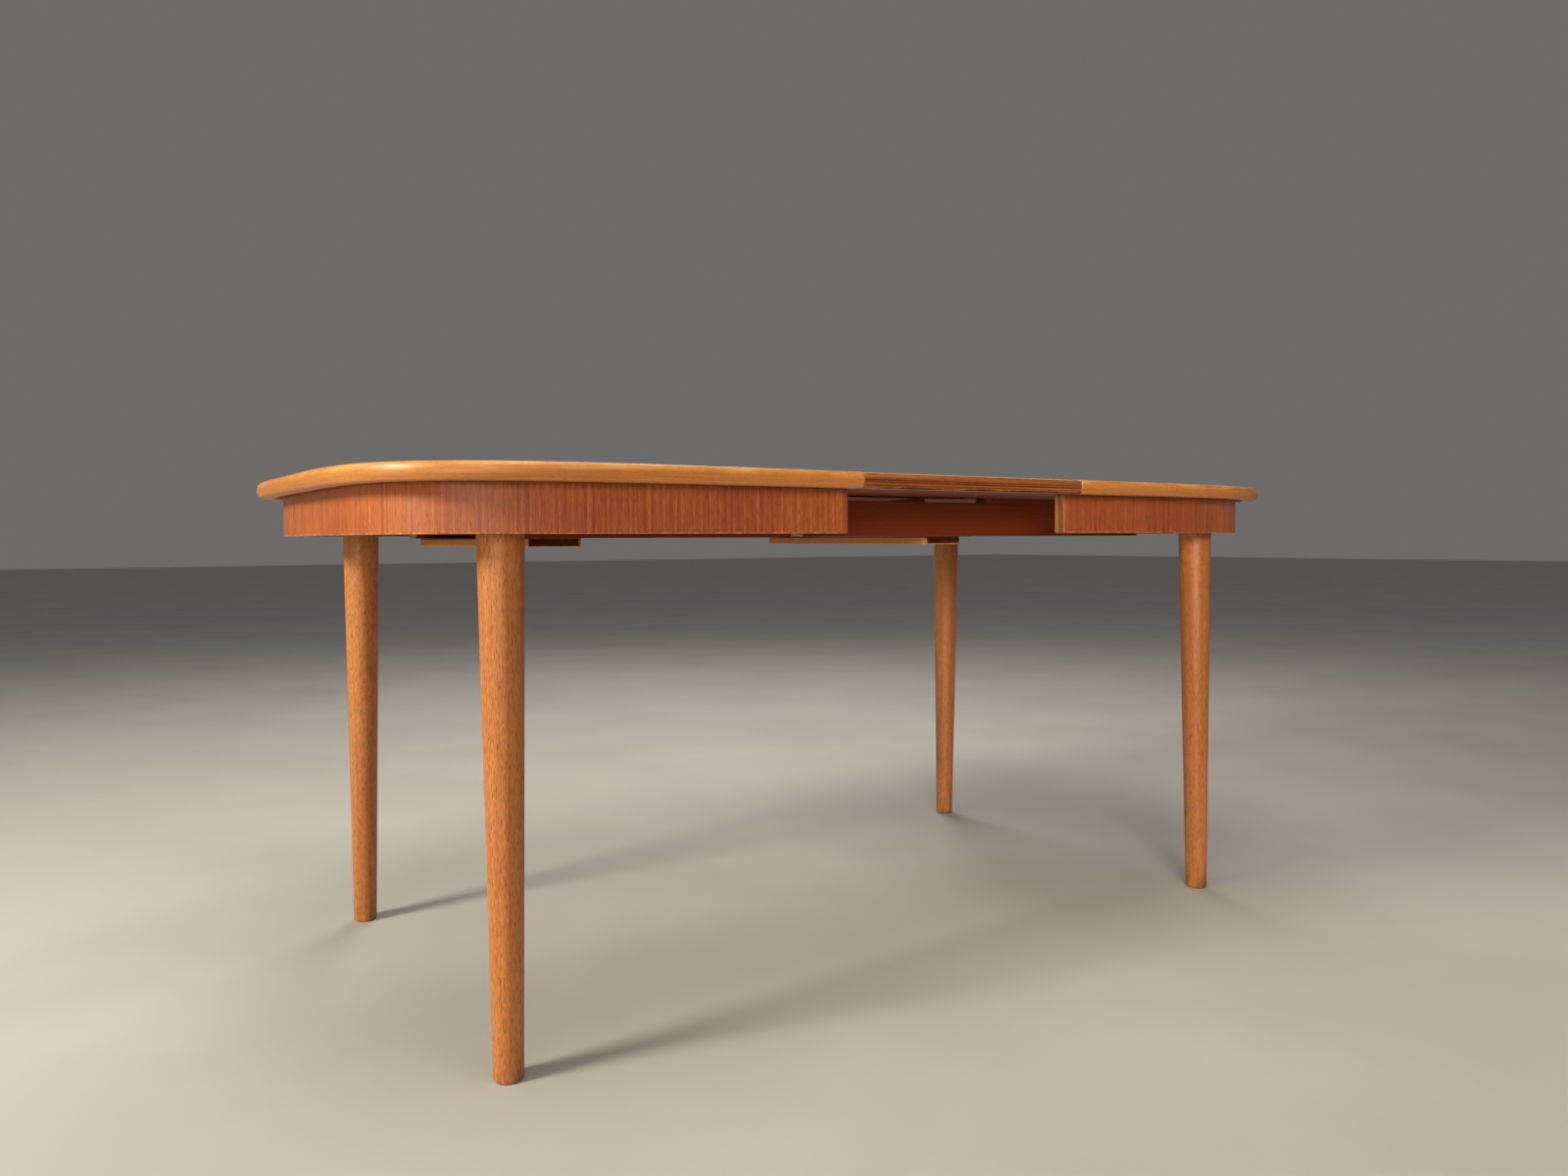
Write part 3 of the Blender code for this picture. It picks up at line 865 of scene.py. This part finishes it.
def make_panel(side, mats):
    """The veneered panel inside the band."""
    piece = Piece(f"{side}_top", [mats["top"], mats["underside"], mats["leaf_edge"]])
    inset = BAND_WIDTH + JOINT
    levels = (
        (TOP_UNDER, inset + PANEL_EASE, PANEL_EASE),
        (TOP_UNDER + PANEL_EASE, inset, 0.0),
        (TOP - VENEER, inset, 0.0),
        (TOP - PANEL_EASE, inset, 0.0),
        (TOP, inset + PANEL_EASE, PANEL_EASE),
    )
    piece.loft([panel_ring(piece, side, *level) for level in levels])
    piece.finish(BODY[side], [f"{side}_top_panel"], panel_face)


def rectangle_ring(piece, x, y, z, lay, wear):
    """A rectangle's corners at one level. lay turns a place into wood coordinates."""
    corners = [Vector(corner) for corner in ((-x, -y, z), (x, -y, z), (x, y, z), (-x, y, z))]
    return piece.ring([(corner, lay(corner), wear) for corner in corners])


def make_leaf(mats):
    """The loose leaf: a full-width veneer over a core, with lippings along its front and rear."""
    low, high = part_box("leaf_panel")
    outer = HALF_WIDTH - LIPPING_SETBACK
    # The veneer's rim takes the light apron-end wood: a painted highlight line along the leaf's top edge
    veneer = Piece("leaf_top", [mats["top"], mats["apron_end"]])
    lay = along_table(LOG_PLACES["leaf"])
    rings = []
    for z, back in ((high.z - VENEER, 0.0), (high.z - LEAF_EASE, 0.0), (high.z, LEAF_EASE)):
        rings.append(rectangle_ring(veneer, high.x - back, outer - back, z, lay, 0.0))
    veneer.loft(rings)
    veneer.finish("leaf", ["leaf_panel"], lambda face: int(face.normal.z <= LOOKS_ALONG))

    # The core's underside takes the dark rail wood: painted shade for the shadowed gap under the leaf
    core = Piece("leaf_core", [mats["leaf_edge"], mats["rail"]])
    core_top = high.z - VENEER - JOINT
    rings = []
    for z, back in ((low.z, LEAF_EASE), (low.z + LEAF_EASE, 0.0), (core_top, 0.0)):
        rings.append(rectangle_ring(core, high.x - back, high.y, z, across_table(0), WEAR["inside"]))
    core.loft(rings)
    core.finish("leaf", pick=lambda face: int(face.normal.z < -0.5))

    section = lipping_section(high.y + 2 * JOINT, outer, low.z, core_top)
    for place, run in RUNS.items():
        make_lipping(place, run, section, high.x, mats)


def lipping_section(inner, outer, low, top):
    """(y, z) of a squarer section than the halves' band, eased at its rims."""
    section = [(inner, top)]
    for a in spread(0, QUARTER, 4):
        y = outer - LIPPING_TOP_ROUND * (1 - math.sin(a))
        section.append((y, top - LIPPING_TOP_ROUND * (1 - math.cos(a))))
    for a in spread(0, QUARTER, 6):
        y = outer - LIPPING_LOW_ROUND * (1 - math.cos(a))
        section.append((y, low + LIPPING_LOW_ROUND * (1 - math.sin(a))))
    section.append((inner, low))
    return section


def make_lipping(place, run, section, reach, mats):
    piece = Piece(f"leaf_{place}_lipping", [mats["leaf_edge"]])
    inner, low = section[-1]
    near = reach - LIPPING_END_EASE
    rings = []
    for x in (-reach, -near, 0, near, reach):
        back = LIPPING_END_EASE if abs(x) == reach else 0
        points = []
        for y, z in section:
            shrunk = y - back if y > inner else y
            wear = WEAR["lipping_rim"] if z < low + LIPPING_LOW_ROUND else 0.0
            grain = (x + LOG_STEPS["lipping"] * run, y, z)
            points.append((Vector((x, run * shrunk, z)), grain, wear))
        rings.append(piece.ring(points))
    piece.loft(rings)
    piece.finish("leaf", [f"leaf_{place}_edge"])


# ---------------------------------------------------------------- aprons


def apron_section():
    outer, inner = APRON_INSET, APRON_INSET + APRON_THICK
    r = APRON_ROUND
    points = [(outer, APRON_TOP, -1, 0, 0.0), (outer, APRON_BOTTOM + 2 * r, -1, 0, 0.0)]
    for a in spread(0, QUARTER, 5):
        c, s = math.cos(a), math.sin(a)
        points.append((outer + r * (1 - c), APRON_BOTTOM + r * (1 - s), -c, -s, WEAR["apron_rim"]))
    for a in spread(0, QUARTER, 4):
        c, s = math.cos(a), math.sin(a)
        points.append((inner - r * (1 - s), APRON_BOTTOM + r * (1 - c), s, -c, WEAR["apron_back"]))
    points.append((inner, APRON_TOP, 1, 0, 0.0))
    return points


def stand_grain(piece, log, leaf_shift):
    """Turns each point's wood coordinates, so that the fibres run upright."""
    for vert in piece.bm.verts:
        along, inset, z = vert[piece.grain]
        vert[piece.grain] = (z + log, along + leaf_shift, inset)


def apron_face(face):
    """Bare laminated core below and on the end caps, veneer on the apron's two faces. On the end strips
    the caps and bottom take the lightened end wood instead, painted light where the leaf shades them.
    """
    below = abs(face.normal.z) > LOOKS_ALONG
    end_cap = abs(face.normal.x) > 0.6 and len(face.verts) > 4
    return int(below or end_cap)


def make_apron(side, mats):
    """The bent apron with its upright veneer, and a solid strip at each of its ends."""
    log = LOG_PLACES["apron"][side]
    start = APRON_END_STRIP + JOINT
    piece = Piece(f"{side}_apron_band", [mats["apron"], mats["block"]])
    sweep = Sweep(piece, side, apron_section())
    front = sweep.straight(FRONT, start)
    curve = sweep.curve(start)
    piece.loft([front, *curve, sweep.straight(REAR, start)])
    stand_grain(piece, log, log)
    piece.finish(BODY[side], [f"{side}_apron"], apron_face)
    for place, run in RUNS.items():
        make_apron_end(side, place, run, log, mats)


def make_apron_end(side, place, run, log, mats):
    """A strip between the seam and the apron, made on the front run and mirrored for the rear."""
    # Its caps and bottom take the light end wood: painted light where the leaf shades them
    piece = Piece(f"{side}_{place}_apron_end", [mats["apron"], mats["apron_end"]])
    sweep = Sweep(piece, side, apron_section())
    piece.loft([*sweep.eased_end(FRONT), sweep.straight(FRONT, APRON_END_STRIP)])
    if run == REAR:
        for vert in piece.bm.verts:
            vert.co.y *= -1
    stand_grain(piece, log + LOG_STEPS["apron_end"], log + APRON_END_VENEER * run)
    piece.finish(BODY[side], pick=apron_face)


# ---------------------------------------------------------------- legs


def ring_at(name, z):
    """The middle and radius of a CAD leg's outer ring at height z."""
    points = [v.co for v in frame["nodes"][name].data.vertices if abs(v.co.z - z) < RING_NEAR]
    low = Vector((min(p.x for p in points), min(p.y for p in points)))
    high = Vector((max(p.x for p in points), max(p.y for p in points)))
    return (low + high) / 2, (high.x - low.x) / 2


def leg_profile(foot_radius, head_radius, height):
    """(radius, height) from the foot's rounded rim up to the head."""
    profile = []
    for a in spread(0, QUARTER, 8):
        radius = foot_radius - FOOT_ROUND * (1 - math.sin(a))
        profile.append((radius, FOOT_ROUND * (1 - math.cos(a))))
    for z in spread(FOOT_ROUND, height, LEG_RINGS)[1:]:
        share = (z - FOOT_ROUND) / (height - FOOT_ROUND)
        profile.append((foot_radius + (head_radius - foot_radius) * share, z))
    return profile


def make_leg(name, number, mats):
    """A turned leg that leans from foot to head. Its foot is scuffed."""
    low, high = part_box(name)
    foot, _ = ring_at(name, low.z)
    _, foot_radius = ring_at(name, low.z + FOOT_EDGE_Z)
    head, head_radius = ring_at(name, high.z)
    height = high.z - low.z
    piece = Piece(f"{name}_turned", [mats["leg"]])
    rings = []
    for radius, z in leg_profile(foot_radius, head_radius, height):
        middle = foot.lerp(head, z / height)
        wear = WEAR["foot"] * max(0.0, 1 - z / SCUFF_HEIGHT)
        points = []
        for i in range(LEG_SIDES):
            angle = math.tau * i / LEG_SIDES
            x = middle.x + radius * math.cos(angle)
            y = middle.y + radius * math.sin(angle)
            turned = angle + LEG_TURN * number
            grain = (z + LOG_STEPS["leg"] * number, radius * math.cos(turned), radius * math.sin(turned))
            points.append(((x, y, low.z + z), grain, wear))
        rings.append(piece.ring(points))
    piece.loft(rings)
    body = BODY["left" if name.startswith("left") else "right"]
    piece.finish(body, [name])


# ---------------------------------------------------------------- rails, boards and blocks


def refine(name, mats, lay, ease, pick=None):
    """A fine piece in a CAD node's shape: clean faces, eased edges, and wood coordinates from lay."""
    source = frame["nodes"][name]
    bm = bmesh.new()
    bm.from_mesh(source.data)
    bmesh.ops.remove_doubles(bm, verts=bm.verts, dist=MERGE_DISTANCE)
    flat = math.radians(FLAT_ANGLE)
    bmesh.ops.dissolve_limit(bm, angle_limit=flat, verts=bm.verts, edges=bm.edges)
    grain = bm.verts.layers.float_vector.new("grain")
    wear = bm.verts.layers.float.new("wear")
    for vert in bm.verts:
        vert[grain] = lay(vert.co)
        vert[wear] = WEAR["inside"]
    for face in bm.faces:
        face.material_index = pick(face) if pick else 0
    obj = new_object(f"{name}_fine", new_mesh(f"{name}_fine", bm, mats))
    eased = obj.modifiers.new("eased", "BEVEL")
    eased.width = ease
    eased.segments = 2
    eased.limit_method = "ANGLE"
    eased.angle_limit = math.radians(EASED_ANGLE)
    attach(obj, source["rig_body"])
    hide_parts(name)


def make_rails(mats):
    looks = [mats["rail"], mats["pale_end"]]
    for side in SIDES:
        for number, place in enumerate(RUNS):
            lay = on_edge(LOG_PLACES["rail"][side] + LOG_STEPS["rail"] * number)
            refine(f"{side}_{place}_rail", looks, lay, RAIL_EASE, ends_along(0))
    for place in RUNS:
        refine(f"{place}_slide_key", [mats["rail"]], on_edge(0), KEY_EASE)


def make_boards(mats):
    # Their end faces take the dark board-end wood, which is painted shade
    looks = [mats["board"], mats["board_end"]]
    for number, place in enumerate(("outer", "inner")):
        lay = across_table(LOG_STEPS["board"] * number)
        refine(f"{place}_cross_board", looks, lay, RAIL_EASE, ends_along(1))
    for place in RUNS:
        refine(f"{place}_leaf_bearer", [mats["board"]], along_table(0), BEARER_EASE)


def make_blocks(mats):
    looks = [mats["block"]]
    for side in SIDES:
        for number, place in enumerate(RUNS):
            lay = along_table(LOG_STEPS["block"] * number + SIDES[side])
            refine(f"{side}_{place}_leg_block", looks, lay, BLOCK_EASE)
        for place in ("front", "end", "rear"):
            lay = across_table(0) if place == "end" else along_table(0)
            refine(f"{side}_{place}_glue_block", looks, lay, GLUE_BLOCK_EASE)


# ---------------------------------------------------------------- fasteners


def screw_profile(length, radius):
    """(radius, depth) of a countersunk head, a plain shank and a tapering thread."""
    shank = SCREW_SHANK * radius
    start = THREAD_START * length
    profile = [(radius - SCREW_RIM, 0.0), (radius, SCREW_RIM), (shank, SCREW_HEAD), (shank, start)]
    for turn in range(int(THREAD_REACH * length / THREAD_PITCH)):
        z = start + THREAD_PITCH * turn
        crest = shank * min(1.0, (length - z) / THREAD_TAPER)
        profile.append((crest, z + THREAD_PITCH / 3))
        profile.append((THREAD_ROOT * crest, z + 2 * THREAD_PITCH / 3))
    return profile


def turned_mesh(profile, tip, mats):
    """A profile turned round Z, flat at its start and running to a point at tip."""
    bm = bmesh.new()
    angles = [math.tau * i / SCREW_SIDES for i in range(SCREW_SIDES)]
    rings = []
    for radius, z in profile:
        rings.append([bm.verts.new((radius * math.cos(a), radius * math.sin(a), z)) for a in angles])
    bridge(bm, rings)
    point = bm.verts.new((0, 0, tip))
    last = rings[-1]
    for near, far in zip(last, last[1:] + last[:1]):
        bm.faces.new((near, far, point))
    bm.faces.new(rings[0])
    bmesh.ops.recalc_face_normals(bm, faces=bm.faces)
    return new_mesh("screw", bm, mats)


def slot_cutter(radius):
    bm = bmesh.new()
    size = Matrix.Diagonal((3 * radius, SLOT_WIDTH, 2 * SLOT_DEPTH, 1))
    bmesh.ops.create_cube(bm, size=1, matrix=size)
    return new_object("slot_cutter", new_mesh("slot", bm))


def screw_mesh(length, radius, mats):
    """A slotted countersunk wood screw, head down at z 0, with a thread of shallow rings."""
    profile = screw_profile(length, radius)
    blank = new_object("screw_blank", turned_mesh(profile, length - SCREW_TIP, [mats["steel"]]))
    cutter = slot_cutter(radius)
    slot = blank.modifiers.new("slot", "BOOLEAN")
    slot.object = cutter
    slot.operation = "DIFFERENCE"
    bpy.context.view_layer.update()
    cut_blank = blank.evaluated_get(bpy.context.evaluated_depsgraph_get())
    cut = bpy.data.meshes.new_from_object(cut_blank)
    bpy.data.objects.remove(blank)
    bpy.data.objects.remove(cutter)
    cut.name = "slotted_screw"
    cut.shade_smooth()
    cut.set_sharp_from_angle(angle=math.radians(SCREW_SHARP_ANGLE))
    return cut


def make_screws(mats):
    """One mesh for each length of screw, its slot turned by chance in each place."""
    chance = random.Random(SCREW_SEED)
    meshes = {}
    for name in sorted(frame["nodes"]):
        if "_screw_" not in name:
            continue
        low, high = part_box(name)
        length = high.z - low.z
        kind = round(length, 3)
        if kind not in meshes:
            meshes[kind] = screw_mesh(length, (high.x - low.x) / 2, mats)
        screw = new_object(f"{name}_slotted", meshes[kind])
        screw.location = ((low.x + high.x) / 2, (low.y + high.y) / 2, low.z)
        screw.rotation_euler.z = chance.uniform(0, math.pi)
        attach(screw, frame["nodes"][name]["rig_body"])
        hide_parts(name)


def dress_hardware(mats):
    """The bolts and inserts keep their CAD shapes, inside legs and blocks."""
    for name, obj in frame["nodes"].items():
        for part, look in HARDWARE.items():
            if part in name:
                for slot in obj.material_slots:
                    slot.material = mats[look]


def main():
    make_camera()
    make_light()
    make_floor()
    mats = make_materials()
    for side in SIDES:
        make_panel(side, mats)
        make_band(side, mats)
        make_apron(side, mats)
    make_leaf(mats)
    legs = [name for name in sorted(frame["nodes"]) if name.endswith("_leg")]
    for number, name in enumerate(legs):
        make_leg(name, number, mats)
    make_rails(mats)
    make_boards(mats)
    make_blocks(mats)
    make_screws(mats)
    dress_hardware(mats)


main()

import json
